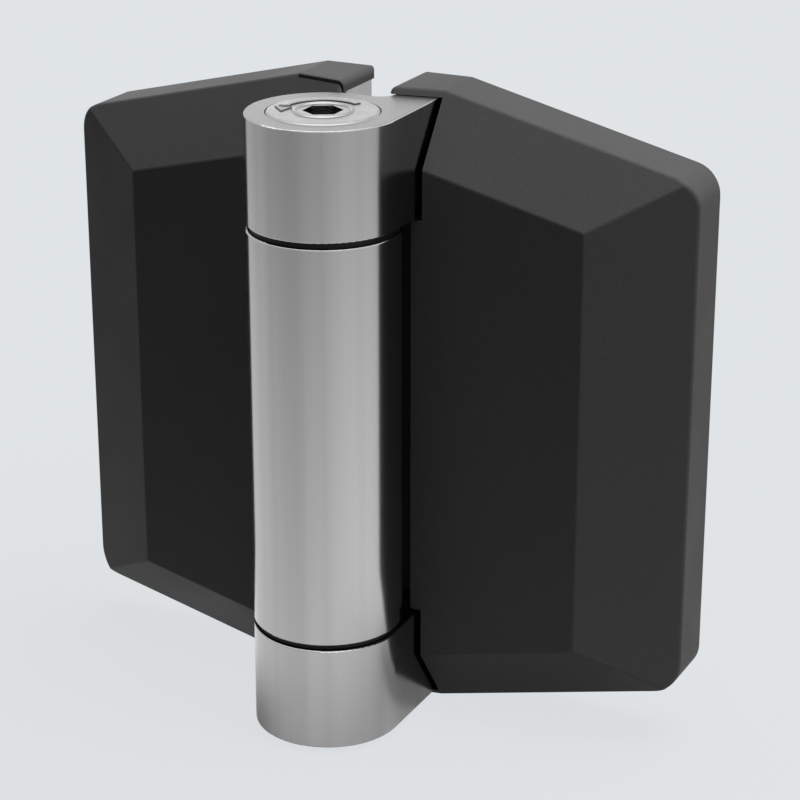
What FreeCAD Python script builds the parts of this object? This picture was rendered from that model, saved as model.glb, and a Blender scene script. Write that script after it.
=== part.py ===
import FreeCAD, Part
import Sketcher
import os

# Self-closing face fit gate hinge, drawn closed with both leaves flat on one plane.
# X runs from the gate leaf to the post leaf, Y into the post, Z up along the barrel.
# The parts are drawn about the barrel's middle plane and moved by fixing_centre,
# so the origin is the middle of the post leaf's fixing holes on its back face.

SIZES = [
    ("barrel_radius", 13.2, "outside of the knuckles"),
    ("barrel_height", 111.4, "top of the upper knuckle to foot of the lower one"),
    ("axis_depth", 28.5, "hinge axis in front of the mounting face"),
    ("end_knuckle", 18.9, "height of each knuckle of the post leaf"),
    ("barrel_wall", 3.5, "wall of the knuckles round the bore"),
    ("leg_inner", 5.5, "inner side of the leg from the middle plane"),
    ("throat_fillet", 3.0, "fillet from the leg into the back of the barrel"),
    ("stub_depth", 10.4, "leg left standing where the other leaf's knuckle turns"),
    ("stub_chamfer", 0.25, "bevel on the inner corner of that leg"),
    ("plate_thickness", 5.0, "back plate"),
    ("root_fillet", 2.0, "fillet from the leg into the plate"),
    ("snap_chamfer", 1.0, "bevel on the plate's outer edge that the cover snaps behind"),
    ("knuckle_edge", 0.25, "rounding of the knuckles' ends"),
    ("fixing_centre", 34.0, "middle of the fixing holes from the hinge's middle plane"),
    ("fixing_across", 26.0, "hole spacing across"),
    ("fixing_up", 60.0, "hole spacing up"),
    ("fixing_radius", 3.3, "fixing hole"),
    ("fixing_sink", 6.3, "radius of the countersink at the plate's front"),
    ("lip_inner", 4.45, "inner end of the covers' lips"),
    ("lip_outer", 14.0, "where the flat lip turns into the sloping edge"),
    ("lip_rise", 1.2, "top of the lips above the barrel's ends"),
    ("cover_end", 59.7, "outer side of the covers"),
    ("cover_slope", 0.242, "fall of the upper edge for each unit outwards"),
    ("cover_corner", 5.5, "rounded outer corner"),
    ("rim_depth", 10.0, "straight rim on the covers' outer sides"),
    ("end_rim", 10.9, "straight rim on their sloping ends"),
    ("cover_depth", 19.6, "front face of the cover"),
    ("front_edge", 43.25, "outer edge of the front face"),
    ("bevel_drop", 11.9, "fall of the upper and lower bevels"),
    ("cover_wall", 2.0, "wall of the covers"),
    ("cover_edge", 0.9, "rounding of the covers' outer edges"),
    ("lip_edge", 1.1, "rounding of the covers' inner ends"),
    ("cover_gap", 0.3, "room between cover and plate edge"),
    ("lip_gap", 0.1, "room between lip and the end of the leg"),
    ("rim_gap", 0.2, "covers' back edge in front of the mounting face"),
    ("stub_gap", 0.2, "room round the milled leg inside the cover"),
    ("notch_gap", 0.7, "room round a leg where it passes through the cover"),
    ("barrel_gap", 1.6, "room between cover and barrel"),
    ("slit_width", 0.45, "slit that frees the gate cover's lip"),
    ("boss_radius", 3.5, "support boss inside each cover"),
    ("bead_length", 36.0, "snap bead inside each cover's outer wall"),
    ("bush_flange", 0.9, "thickness of the bush flange seen between the knuckles"),
    ("flange_inset", 0.6, "bush flange inside the barrel's outside"),
    ("sleeve_length", 10.0, "bush sleeve inside the middle knuckle"),
    ("thrust_play", 0.1, "play between flange and post knuckle"),
    ("running_gap", 0.05, "radial clearance of a turning fit"),
    ("shank_radius", 6.0, "pivot shanks"),
    ("head_rise", 0.2, "pivot heads above the barrel's ends"),
    ("head_edge", 0.6, "rounding of the pivot heads"),
    ("socket_flats", 6.0, "key socket across flats"),
    ("socket_depth", 6.5, "key socket"),
    ("ring_inner", 4.3, "raised ring round the key socket"),
    ("ring_outer", 5.3, "raised ring round the key socket"),
    ("ring_raise", 0.25, "height of the raised ring"),
    ("seal_drop", 5.0, "seal groove from the barrel's end"),
    ("seal_section", 1.6, "thickness of the seal ring"),
    ("screw_drop", 11.5, "set screws from the barrel's ends"),
    ("screw_radius", 2.5, "set screws"),
    ("screw_socket", 2.5, "set screw socket across flats"),
    ("screw_recess", 0.5, "set screw below the barrel's back"),
    ("screw_socket_depth", 2.0, "set screw socket"),
    ("screw_grip", 0.8, "depth of the groove that the set screw holds"),
    ("anchor_grip", 2.0, "how far the set screw enters the spring anchor"),
    ("pivot_gap", 0.5, "room between the lower pivot and the spring anchor"),
    ("wire_side", 2.5, "square spring wire"),
    ("spring_room", 1.25, "room between the spring and the bore"),
    ("coil_pitch", 3.3, "least rise of one turn of the spring, which has whole turns"),
    ("coil_gap", 0.6, "room between spring and the faces at its ends"),
    ("mandrel_room", 0.85, "room for the spring's end turns to tighten on their spigot"),
    ("mandrel_length", 8.0, "length of that spigot"),
    ("slot_gap", 0.1, "room round the spring's end in its slot"),
    ("anchor_length", 7.0, "spring anchor in the middle knuckle"),
    ("cut_margin", 2.0, "how far cutting shapes run past what they cut"),
]

doc = FreeCAD.newDocument("face_fit_hinge")
sheet = doc.addObject("Spreadsheet::Sheet", "dims")
for row, (alias, size, note) in enumerate(SIZES, 1):
    sheet.set(f"A{row}", alias)
    sheet.set(f"B{row}", str(size))
    sheet.setAlias(f"B{row}", alias)
    sheet.set(f"C{row}", note)
doc.recompute()

# Heights and radii that several pieces share
TOP = "dims.barrel_height/2"
KNUCKLE_FACE = f"({TOP}-dims.end_knuckle)"
MIDDLE_FACE = f"({KNUCKLE_FACE}-dims.bush_flange-dims.thrust_play)"
SLEEVE_END = f"({MIDDLE_FACE}-dims.sleeve_length)"
BORE = "(dims.barrel_radius-dims.barrel_wall)"
HEAD_RADIUS = f"({BORE}-dims.running_gap)"
FLANGE = "(dims.barrel_radius-dims.flange_inset)"
SCREW_LEVEL = f"({TOP}-dims.screw_drop)"
ANCHOR_LEVEL = f"({SLEEVE_END}-dims.anchor_length/2)"
ANCHOR_FACE = f"({SLEEVE_END}-dims.anchor_length)"
WIRE_HALF = "(dims.wire_side/2)"
COIL_OUTSIDE = f"({BORE}-dims.spring_room)"
COIL_RADIUS = f"({COIL_OUTSIDE}-{WIRE_HALF})"
COIL_TOP = f"({SLEEVE_END}-dims.coil_gap-{WIRE_HALF})"
COIL_FOOT = f"(-{ANCHOR_FACE}+dims.coil_gap+{WIRE_HALF})"
MANDREL = f"({COIL_OUTSIDE}-dims.wire_side-dims.mandrel_room)"
LIP_FOOT = f"({TOP}+dims.lip_gap)"
LIP_TOP = f"({TOP}+dims.lip_rise)"
SLOPE_STRETCH = "sqrt(1+dims.cover_slope^2)"
BEVEL_RISE = "(dims.cover_depth-dims.rim_depth)"
BEVEL_RUN = "(dims.cover_end-dims.front_edge)"
BEVEL_SLOPE = "(dims.bevel_drop/(dims.cover_depth-dims.end_rim))"
BARREL_CLEAR = "(dims.barrel_radius+dims.barrel_gap)"
NOTCH_SIDE = "(dims.barrel_radius+dims.notch_gap)"
PLATE_INSET = "(dims.cover_wall+dims.cover_gap)"
PLATE_END = f"(dims.cover_end-{PLATE_INSET})"


def value(expression):
    return float(sheet.evalExpression(str(expression)))


def bind(item, **sizes):
    for name, expression in sizes.items():
        item.setExpression(name.replace("__", "."), str(expression))


def place(item, depth="0"):
    bind(item, Placement__Base__x="-dims.fixing_centre", Placement__Base__y=f"-({depth})")


def new_body(label, placed=True, depth="0"):
    body = doc.addObject("PartDesign::Body", label)
    body.Label = label
    if placed:
        place(body, depth)
    return body


def origin_plane(body, role):
    return next(item for item in body.Origin.OriginFeatures if item.Role == role)


def new_sketch(body, name, role, offset="0"):
    sketch = body.newObject("Sketcher::SketchObject", name)
    sketch.AttachmentSupport = (origin_plane(body, role), "")
    sketch.MapMode = "FlatFace"
    bind(sketch, AttachmentOffset__Base__z=offset)
    return sketch


def pin(sketch, geometry, point, x, y):
    for kind, expression in (("DistanceX", x), ("DistanceY", y)):
        constraint = Sketcher.Constraint(kind, -1, 1, geometry, point, value(expression))
        index = sketch.addConstraint(constraint)
        sketch.setExpression(f"Constraints[{index}]", expression)


def arc_between(start, end, radius, clockwise):
    if clockwise:
        start, end = end, start
    chord = end - start
    left = FreeCAD.Vector(-chord.y, chord.x, 0).normalize()
    rise = max(radius * radius - chord.Length**2 / 4, 0) ** 0.5
    centre = (start + end) / 2 + left * rise
    circle = Part.Circle(centre, FreeCAD.Vector(0, 0, 1), radius)
    return Part.ArcOfCircle(circle, circle.parameter(start), circle.parameter(end))


def draw_outline(sketch, path, mirror=False):
    """Closed outline. A point is (x, y), or (x, y, radius, "cw" or "ccw") where an arc follows it."""
    side = "-" if mirror else ""
    turns = {"cw": not mirror, "ccw": mirror}
    points = [(f"{side}({point[0]})", f"({point[1]})") for point in path]
    corners = [FreeCAD.Vector(value(x), value(y), 0) for x, y in points]
    ends = []
    for index, point in enumerate(path):
        start = corners[index]
        end = corners[(index + 1) % len(path)]
        if len(point) == 2:
            ends.append((sketch.addGeometry(Part.LineSegment(start, end)), 1, 2))
            continue
        clockwise = turns[point[3]]
        item = sketch.addGeometry(arc_between(start, end, value(point[2]), clockwise))
        ends.append((item, 2, 1) if clockwise else (item, 1, 2))
    for index, (item, first, last) in enumerate(ends):
        following, following_first, _ = ends[(index + 1) % len(ends)]
        sketch.addConstraint(Sketcher.Constraint("Coincident", item, last, following, following_first))
        pin(sketch, item, first, *points[index])
        if len(path[index]) == 4:
            constraint = Sketcher.Constraint("Radius", item, value(path[index][2]))
            sketch.setExpression(f"Constraints[{sketch.addConstraint(constraint)}]", path[index][2])
    return sketch


def draw_circle(sketch, x, y, radius):
    centre = FreeCAD.Vector(value(x), value(y), 0)
    item = sketch.addGeometry(Part.Circle(centre, FreeCAD.Vector(0, 0, 1), value(radius)))
    pin(sketch, item, 3, x, y)
    constraint = Sketcher.Constraint("Radius", item, value(radius))
    sketch.setExpression(f"Constraints[{sketch.addConstraint(constraint)}]", radius)
    return sketch


def draw_box(sketch, left, foot, right, top, mirror=False):
    return draw_outline(sketch, [(left, foot), (right, foot), (right, top), (left, top)], mirror)


def hexagon(flats):
    half, short, tall = f"{flats}/2", f"{flats}/2/sqrt(3)", f"{flats}/sqrt(3)"
    return [
        (half, f"-{short}"),
        (half, short),
        ("0", tall),
        (f"-{half}", short),
        (f"-{half}", f"-{short}"),
        ("0", f"-{tall}"),
    ]


def extrude(body, kind, name, sketch, length, both_ways=False, reverse=False):
    before = body.Tip.Shape.Volume if body.Tip and kind == "Pocket" else None
    item = body.newObject(f"PartDesign::{kind}", name)
    item.Profile = sketch
    item.SideType = "Symmetric" if both_ways else "One side"
    item.Reversed = reverse
    bind(item, Length=length)
    doc.recompute()
    if before is not None and item.Shape.Volume > before - 1e-6:
        raise RuntimeError(f"{body.Label} {name} cuts nothing")
    return item


def mirror_up_down(body, feature):
    item = body.newObject("PartDesign::Mirrored", f"{feature.Name}_below")
    item.Originals = [feature]
    item.MirrorPlane = (origin_plane(body, "XY_Plane"), [""])
    body.Tip = item
    doc.recompute()
    return item


def revolve(body, name, path):
    sketch = draw_outline(new_sketch(body, f"{name}_section", "XZ_Plane"), path)
    item = body.newObject("PartDesign::Revolution", name)
    item.Profile = sketch
    item.ReferenceAxis = (sketch, ["V_Axis"])
    item.Angle = 360
    doc.recompute()
    return item


def soften(body, kind, name, edges, **sizes):
    base = body.Tip
    item = body.newObject(f"PartDesign::{kind}", name)
    item.Base = (base, edges)
    bind(item, **sizes)
    doc.recompute()
    return item


def edges_where(shape, wanted):
    return [f"Edge{index}" for index, edge in enumerate(shape.Edges, 1) if wanted(edge)]


# Leaves
# One extruded section serves both: plate, leg and barrel. The post leaf keeps the end knuckles.

def leaf_section():
    reach = "(dims.barrel_radius+dims.throat_fillet)"
    throat_x = "(dims.leg_inner-dims.throat_fillet)"
    throat_y = f"sqrt({reach}^2-{throat_x}^2)"
    share = f"dims.barrel_radius/{reach}"
    barrel = "dims.barrel_radius"
    axis = "-dims.axis_depth"
    return [
        (barrel, axis),
        (barrel, "-(dims.plate_thickness+dims.root_fillet)", "dims.root_fillet", "cw"),
        (f"{barrel}+dims.root_fillet", "-dims.plate_thickness"),
        (PLATE_END, "-dims.plate_thickness"),
        (PLATE_END, "-dims.snap_chamfer"),
        (f"{PLATE_END}-dims.snap_chamfer", "0"),
        ("dims.leg_inner", "0"),
        ("dims.leg_inner", f"{axis}+{throat_y}", "dims.throat_fillet", "cw"),
        (f"{throat_x}*{share}", f"{axis}+{throat_y}*{share}", barrel, "ccw"),
        (f"-{barrel}", axis, barrel, "ccw"),
        ("0", f"{axis}-{barrel}", barrel, "ccw"),
    ]


def corner_ends(inset):
    """Ends of the rounded outer corner on the sloping edge and the outer side, moved in by inset."""
    radius = f"(dims.cover_corner-{inset})"
    end = f"(dims.cover_end-{inset})"
    top = f"({LIP_TOP}-dims.cover_slope*({end}-dims.lip_outer)-{inset}*{SLOPE_STRETCH})"
    reach = f"{radius}*({SLOPE_STRETCH}-dims.cover_slope)"
    along = f"({end}-{reach}/{SLOPE_STRETCH})"
    rise = f"({top}+{reach}*dims.cover_slope/{SLOPE_STRETCH})"
    return radius, (along, rise), (end, f"({top}-{reach})")


def trim_plate(body, mirror):
    radius, sloping, upright = corner_ends(PLATE_INSET)
    start = f"({sloping[1]}+dims.cover_slope*({sloping[0]}-dims.barrel_radius))"
    outside = f"{PLATE_END}+dims.cut_margin"
    above = f"{TOP}+dims.cut_margin"
    path = [
        ("dims.barrel_radius", start),
        (*sloping, radius, "cw"),
        upright,
        (outside, upright[1]),
        (outside, above),
        ("dims.barrel_radius", above),
    ]
    sketch = draw_outline(new_sketch(body, "sloping_edge", "XZ_Plane"), path, mirror)
    depth = "2*(dims.plate_thickness+dims.root_fillet+dims.cut_margin)"
    mirror_up_down(body, extrude(body, "Pocket", "slope_cut", sketch, depth, both_ways=True))


def mill_clear(body, spans):
    front = "-(dims.axis_depth+dims.barrel_radius+dims.cut_margin)"
    sketch = new_sketch(body, "knuckle_space", "YZ_Plane")
    for foot, top in spans:
        draw_box(sketch, front, foot, "-dims.stub_depth", top)
    extrude(body, "Pocket", "knuckle_cut", sketch, "4*dims.barrel_radius", both_ways=True)

    across = value("dims.leg_inner")
    front = -value("dims.stub_depth")

    def inner_corner(edge):
        points = [vertex.Point for vertex in edge.Vertexes]
        upright = len(points) == 2 and edge.BoundBox.ZLength > 1
        return upright and all(abs(abs(p.x) - across) + abs(p.y - front) < 1e-3 for p in points)

    edges = edges_where(body.Tip.Shape, inner_corner)
    soften(body, "Chamfer", "stub_corners", edges, Size="dims.stub_chamfer")


def drill_fixings(body, mirror):
    side = "-" if mirror else ""
    sketch = new_sketch(body, "fixing_places", "XZ_Plane", "dims.plate_thickness")
    for across in ("-", "+"):
        for up in ("-", ""):
            x = f"{side}(dims.fixing_centre{across}dims.fixing_across/2)"
            draw_circle(sketch, x, f"{up}dims.fixing_up/2", "dims.fixing_radius")
    doc.recompute()
    before = body.Tip.Shape.Volume
    hole = body.newObject("PartDesign::Hole", "fixing_holes")
    hole.Profile = sketch
    doc.recompute()
    hole.DepthType = "ThroughAll"
    hole.HoleCutType = "Countersink"
    hole.HoleCutCustomValues = True
    hole.HoleCutCountersinkAngle = 90
    bind(hole, Diameter="2*dims.fixing_radius", HoleCutDiameter="2*dims.fixing_sink")
    doc.recompute()
    if hole.Shape.Volume > before - 1e-6:
        raise RuntimeError(f"{body.Label} has no fixing holes")


def tap_screw_hole(body, level, name):
    inside = f"dims.axis_depth-{BORE}+dims.cut_margin"
    sketch = new_sketch(body, f"{name}_place", "XZ_Plane", inside)
    draw_circle(sketch, "0", level, "dims.screw_radius")
    length = "dims.barrel_wall+2*dims.cut_margin"
    extrude(body, "Pocket", name, sketch, length)


def round_knuckles(body, levels):
    reach = value("dims.barrel_radius") - 1e-3
    axis = FreeCAD.Vector(0, -value("dims.axis_depth"), 0)
    stub = -value("dims.stub_depth")
    heights = [value(level) for level in levels]

    def on_knuckle_end(edge):
        middle = edge.valueAt((edge.FirstParameter + edge.LastParameter) / 2)
        box = edge.BoundBox
        level = box.ZLength < 1e-4 and any(abs(abs(middle.z) - height) < 1e-4 for height in heights)
        outside = FreeCAD.Vector(middle.x, middle.y, 0).distanceToPoint(axis) > reach
        return level and outside and box.YMin < stub - 1e-3

    edges = edges_where(body.Tip.Shape, on_knuckle_end)
    soften(body, "Fillet", "knuckle_edges", edges, Radius="dims.knuckle_edge")


def make_leaf(label, mirror, spans, screw_levels, rounded_levels):
    body = new_body(label)
    sketch = draw_outline(new_sketch(body, "section", "XY_Plane"), leaf_section(), mirror)
    extrude(body, "Pad", "extrusion", sketch, "dims.barrel_height", both_ways=True)
    trim_plate(body, mirror)
    mill_clear(body, spans)
    bore = draw_circle(new_sketch(body, "bore_place", "XY_Plane"), "0", "-dims.axis_depth", BORE)
    extrude(body, "Pocket", "bore", bore, "dims.barrel_height+dims.cut_margin", both_ways=True)
    round_knuckles(body, rounded_levels)
    for index, level in enumerate(screw_levels, 1):
        tap_screw_hole(body, level, f"screw_hole_{index}")
    drill_fixings(body, mirror)
    return body


ABOVE = f"({TOP}+dims.cut_margin)"
post_leaf = make_leaf(
    "post_leaf",
    False,
    [(f"-{KNUCKLE_FACE}", KNUCKLE_FACE)],
    [SCREW_LEVEL, f"-{SCREW_LEVEL}"],
    [TOP, KNUCKLE_FACE],
)
gate_leaf = make_leaf(
    "gate_leaf",
    True,
    [(MIDDLE_FACE, ABOVE), (f"-{ABOVE}", f"-{MIDDLE_FACE}")],
    [f"-{ANCHOR_LEVEL}"],
    [MIDDLE_FACE],
)


# Covers
# A block with sloping ends and bevelled front, hollowed by the same block moved in by the wall.

def cover_block(name, mirror, inset, inner, back):
    body = new_body(name, placed=False)
    radius, sloping, upright = corner_ends(inset)
    top = f"({LIP_TOP}-{inset})"
    lip_outer = f"(dims.lip_outer-{inset}*({SLOPE_STRETCH}-1)/dims.cover_slope)"
    path = [
        (inner, f"-{top}"),
        (lip_outer, f"-{top}"),
        (sloping[0], f"-{sloping[1]}", radius, "ccw"),
        (upright[0], f"-{upright[1]}"),
        (*upright, radius, "ccw"),
        sloping,
        (lip_outer, top),
        (inner, top),
    ]
    sketch = draw_outline(new_sketch(body, "outline", "XZ_Plane", back), path, mirror)
    extrude(body, "Pad", "block", sketch, f"dims.cover_depth-{inset}-({back})")

    shift = f"({inset}*sqrt({BEVEL_RISE}^2+{BEVEL_RUN}^2)/{BEVEL_RISE})"
    past = f"dims.cut_margin*{BEVEL_RUN}/{BEVEL_RISE}"
    outside = "(dims.cover_end+dims.cut_margin)"
    front = "-(dims.cover_depth+dims.cut_margin)"
    path = [
        (f"dims.front_edge-{shift}-{past}", front),
        (outside, front),
        (outside, f"-(dims.rim_depth-({shift}+dims.cut_margin)/{BEVEL_RUN}*{BEVEL_RISE})"),
    ]
    sketch = draw_outline(new_sketch(body, "outer_bevel_section", "XY_Plane"), path, mirror)
    extrude(body, "Pocket", "outer_bevel", sketch, f"4*{LIP_TOP}", both_ways=True)

    drop = f"({inset}*sqrt(1+dims.cover_slope^2+{BEVEL_SLOPE}^2))"
    start = f"({LIP_TOP}+dims.cover_slope*dims.lip_outer-{drop})"
    margin = f"(dims.cut_margin*{BEVEL_SLOPE}+{drop})"
    path = [
        (front, f"{start}-dims.bevel_drop-dims.cut_margin*{BEVEL_SLOPE}"),
        (front, f"{start}+{margin}"),
        (f"-(dims.end_rim-{margin}/{BEVEL_SLOPE})", f"{start}+{margin}"),
    ]
    sketch = draw_outline(new_sketch(body, "upper_bevel_section", "YZ_Plane"), path)
    before = body.Tip.Shape.Volume
    bevel = body.newObject("PartDesign::Pocket", "upper_bevel")
    bevel.Profile = sketch
    bevel.UseCustomVector = True
    bevel.AlongSketchNormal = True
    bevel.Direction = FreeCAD.Vector(-1 if mirror else 1, 0, -1)
    bind(bevel, Direction__z="-dims.cover_slope", Length="dims.cover_end+dims.cut_margin")
    doc.recompute()
    if bevel.Shape.Volume > before - 1e-6:
        raise RuntimeError(f"{name} upper bevel cuts nothing")
    mirror_up_down(body, bevel)
    return body


def round_cover_edges(body):
    back = value("dims.cover_edge") * 2
    inner = value("dims.lip_inner") + 1e-3
    crease = value("dims.lip_outer")
    top = value(LIP_TOP) - 1e-3

    def outer_edge(edge):
        points = [vertex.Point for vertex in edge.Vertexes]
        in_front = all(-point.y > back for point in points)
        at_end = all(abs(point.x) < inner for point in points)
        on_crease = all(abs(abs(point.x) - crease) < 1e-3 for point in points)
        return in_front and not at_end and not on_crease

    def lip_end(edge):
        points = [vertex.Point for vertex in edge.Vertexes]
        at_end = all(abs(point.x) < inner for point in points)
        return at_end and all(abs(point.z) > top for point in points)

    soften(body, "Fillet", "lip_ends", edges_where(body.Tip.Shape, lip_end), Radius="dims.lip_edge")
    edges = edges_where(body.Tip.Shape, outer_edge)
    soften(body, "Fillet", "soft_edges", edges, Radius="dims.cover_edge")


def add_box(body, name, mirror, across, depths, heights):
    sketch = new_sketch(body, f"{name}_elevation", "XZ_Plane", depths[0])
    draw_box(sketch, across[0], heights[0], across[1], heights[1], mirror)
    return extrude(body, "Pad", name, sketch, f"({depths[1]})-({depths[0]})")


def add_inner_walls(hollow, mirror, shield):
    """Shapes left standing in the hollow: a wall beside the leg, a support boss and a snap bead.
    The post cover's wall also turns in front of the milled leg and hides it beside the barrel."""
    beside = "(dims.barrel_radius+dims.stub_gap)"
    start = "-(dims.plate_thickness+dims.root_fillet+dims.stub_gap)"
    front = "-(dims.cover_depth+dims.cut_margin)"
    sketch = new_sketch(hollow, "return_wall_plan", "XY_Plane")
    draw_box(sketch, beside, front, f"{beside}+dims.cover_wall", start, mirror)
    extrude(hollow, "Pocket", "return_wall", sketch, f"4*{LIP_TOP}", both_ways=True)
    if shield:
        foot = "(dims.stub_depth+dims.stub_gap)"
        inner = "dims.lip_inner-dims.cut_margin"
        sketch = new_sketch(hollow, "shield_plan", "XY_Plane")
        draw_box(sketch, inner, f"-({foot}+dims.cover_wall)", beside, f"-{foot}", mirror)
        extrude(hollow, "Pocket", "shield", sketch, f"4*{LIP_TOP}", both_ways=True)

    side = "-" if mirror else ""
    sketch = new_sketch(hollow, "boss_place", "XZ_Plane", "dims.plate_thickness")
    draw_circle(sketch, f"{side}dims.fixing_centre", "0", "dims.boss_radius")
    extrude(hollow, "Pocket", "boss", sketch, "dims.cover_depth", reverse=True)

    foot = f"({PLATE_END}-dims.snap_chamfer+dims.cover_gap)"
    outside = "(dims.cover_end+dims.cut_margin)"
    path = [
        (f"{foot}-dims.cut_margin", "dims.cut_margin"),
        (outside, f"-({outside}-{foot})"),
        (outside, "dims.cut_margin"),
    ]
    sketch = draw_outline(new_sketch(hollow, "bead_section", "XY_Plane"), path, mirror)
    extrude(hollow, "Pocket", "snap_bead", sketch, "dims.bead_length", both_ways=True)


def add_leg_room(hollow, mirror, notches):
    """Room for the milled leg, for the leg where it passes through, and for the turning barrel."""
    behind = "-dims.cut_margin"
    across = ("dims.leg_inner-dims.lip_gap", "dims.barrel_radius+dims.stub_gap")
    depths = (behind, "dims.stub_depth+dims.stub_gap")
    add_box(hollow, "leg_room", mirror, across, depths, (f"-{LIP_FOOT}", LIP_FOOT))
    across = ("dims.lip_inner-dims.cut_margin", NOTCH_SIDE)
    depths = (behind, "dims.cover_depth+dims.cut_margin")
    for index, heights in enumerate(notches, 1):
        add_box(hollow, f"notch_{index}", mirror, across, depths, heights)
    clear = f"sqrt({BARREL_CLEAR}^2-(dims.axis_depth-dims.cover_depth)^2)"
    depths = (f"dims.axis_depth-{BARREL_CLEAR}", "dims.cover_depth+dims.cut_margin")
    heights = (f"-2*{LIP_TOP}", f"2*{LIP_TOP}")
    add_box(hollow, "barrel_room", mirror, (across[0], clear), depths, heights)


def add_lip_slit(hollow, mirror):
    """Slit along the front edge of the lip, which frees it from the bevel."""
    end = "(dims.lip_inner-dims.cut_margin)"
    start = "dims.end_rim"
    deep = f"({start}+dims.cover_slope*(dims.lip_outer-{end})/{BEVEL_SLOPE})"
    path = [
        (end, f"-{deep}"),
        (end, f"-({deep}+dims.slit_width)"),
        ("dims.lip_outer", f"-({start}+dims.slit_width)"),
        ("dims.lip_outer", f"-{start}"),
    ]
    foot = f"{LIP_TOP}-2*dims.cover_wall"
    sketch = draw_outline(new_sketch(hollow, "slit_plan", "XY_Plane", foot), path, mirror)
    slit = extrude(hollow, "Pad", "slit", sketch, "2*dims.cover_wall+dims.cut_margin")
    mirror_up_down(hollow, slit)


def make_cover(label, mirror, notches, shield=False, slit=False):
    block = cover_block(f"{label}_block", mirror, "0", "dims.lip_inner", "dims.rim_gap")
    round_cover_edges(block)
    inner = "(dims.lip_inner-dims.cut_margin)"
    hollow = cover_block(f"{label}_hollow", mirror, "dims.cover_wall", inner, "-dims.cut_margin")
    add_inner_walls(hollow, mirror, shield)
    add_leg_room(hollow, mirror, notches)
    if slit:
        add_lip_slit(hollow, mirror)
    cover = doc.addObject("Part::Cut", label)
    cover.Label = label
    cover.Base = block
    cover.Tool = hollow
    place(cover)
    doc.recompute()
    return cover


END_NOTCH = f"({KNUCKLE_FACE}-dims.notch_gap)"
MIDDLE_NOTCH = f"({MIDDLE_FACE}+dims.notch_gap)"
END_NOTCHES = [(END_NOTCH, LIP_FOOT), (f"-{LIP_FOOT}", f"-{END_NOTCH}")]
post_cover = make_cover("post_cover", False, END_NOTCHES, shield=True)
gate_cover = make_cover("gate_cover", True, [(f"-{MIDDLE_NOTCH}", MIDDLE_NOTCH)], slit=True)


# Barrel
# Drawn about the hinge axis. Pieces at the foot are those at the top turned over.

def turned_over(path):
    turns = {"cw": "ccw", "ccw": "cw"}
    return [(x, f"-({y})", *(turns.get(item, item) for item in arc)) for x, y, *arc in path]


def barrel_body(label):
    return new_body(label, depth="dims.axis_depth")


BUSH_BORE = "(dims.shank_radius+dims.running_gap)"
BUSH = [
    (BUSH_BORE, SLEEVE_END),
    (BORE, SLEEVE_END),
    (BORE, MIDDLE_FACE),
    (FLANGE, MIDDLE_FACE),
    (FLANGE, f"{MIDDLE_FACE}+dims.bush_flange"),
    (BUSH_BORE, f"{MIDDLE_FACE}+dims.bush_flange"),
]
upper_bush = barrel_body("upper_bush")
revolve(upper_bush, "bush", BUSH)
lower_bush = barrel_body("lower_bush")
revolve(lower_bush, "bush", turned_over(BUSH))

HEAD_TOP = f"({TOP}+dims.head_rise)"
SEAL_LEVEL = f"({TOP}-dims.seal_drop)"
SEAL_FLOOR = f"({HEAD_RADIUS}-dims.seal_section)"
SEAL_HALF = "(dims.seal_section*5/8)"
GRIP_FLOOR = f"({HEAD_RADIUS}-dims.screw_grip)"
GRIP_HALF = "(dims.screw_radius+dims.running_gap)"


def head_profile(crown, shank):
    """Pivot head with its seal groove and set screw groove, from the crown at its end to its shank."""
    side = [
        (f"{HEAD_RADIUS}-dims.head_edge", HEAD_TOP, "dims.head_edge", "cw"),
        (HEAD_RADIUS, f"{HEAD_TOP}-dims.head_edge"),
    ]
    for level, half, floor in (
        (SEAL_LEVEL, SEAL_HALF, SEAL_FLOOR),
        (SCREW_LEVEL, GRIP_HALF, GRIP_FLOOR),
    ):
        side += [
            (HEAD_RADIUS, f"{level}+{half}"),
            (floor, f"{level}+{half}"),
            (floor, f"{level}-{half}"),
            (HEAD_RADIUS, f"{level}-{half}"),
        ]
    side += [(HEAD_RADIUS, KNUCKLE_FACE), ("dims.shank_radius", KNUCKLE_FACE)]
    return crown + side + shank


def cut_spring_slot(body, foot, top):
    half = f"({WIRE_HALF}+dims.slot_gap)"
    sketch = draw_box(new_sketch(body, "slot_place", "YZ_Plane"), f"-{half}", foot, half, top)
    extrude(body, "Pocket", "spring_slot", sketch, f"4*{MANDREL}", both_ways=True)


MANDREL_END = f"({SLEEVE_END}-dims.mandrel_length)"
RING_CURVE = "((dims.ring_outer-dims.ring_inner)^2/dims.ring_raise/8+dims.ring_raise/2)"
tension_adjuster = barrel_body("tension_adjuster")
revolve(
    tension_adjuster,
    "adjuster",
    head_profile(
        [
            ("0", HEAD_TOP),
            ("dims.ring_inner", HEAD_TOP, RING_CURVE, "cw"),
            ("dims.ring_outer", HEAD_TOP),
        ],
        [
            ("dims.shank_radius", SLEEVE_END),
            (MANDREL, SLEEVE_END),
            (MANDREL, MANDREL_END),
            ("0", MANDREL_END),
        ],
    ),
)
key_sketch = new_sketch(tension_adjuster, "key_place", "XY_Plane", HEAD_TOP)
draw_outline(key_sketch, hexagon("dims.socket_flats"))
extrude(tension_adjuster, "Pocket", "key_socket", key_sketch, "dims.socket_depth")
cut_spring_slot(
    tension_adjuster,
    f"{MANDREL_END}-dims.cut_margin",
    f"{COIL_TOP}+{WIRE_HALF}+dims.slot_gap",
)

lower_pivot = barrel_body("lower_pivot")
PIVOT_END = f"({SLEEVE_END}+dims.pivot_gap)"
revolve(
    lower_pivot,
    "pivot",
    turned_over(head_profile([("0", HEAD_TOP)], [("dims.shank_radius", PIVOT_END), ("0", PIVOT_END)])),
)

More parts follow.
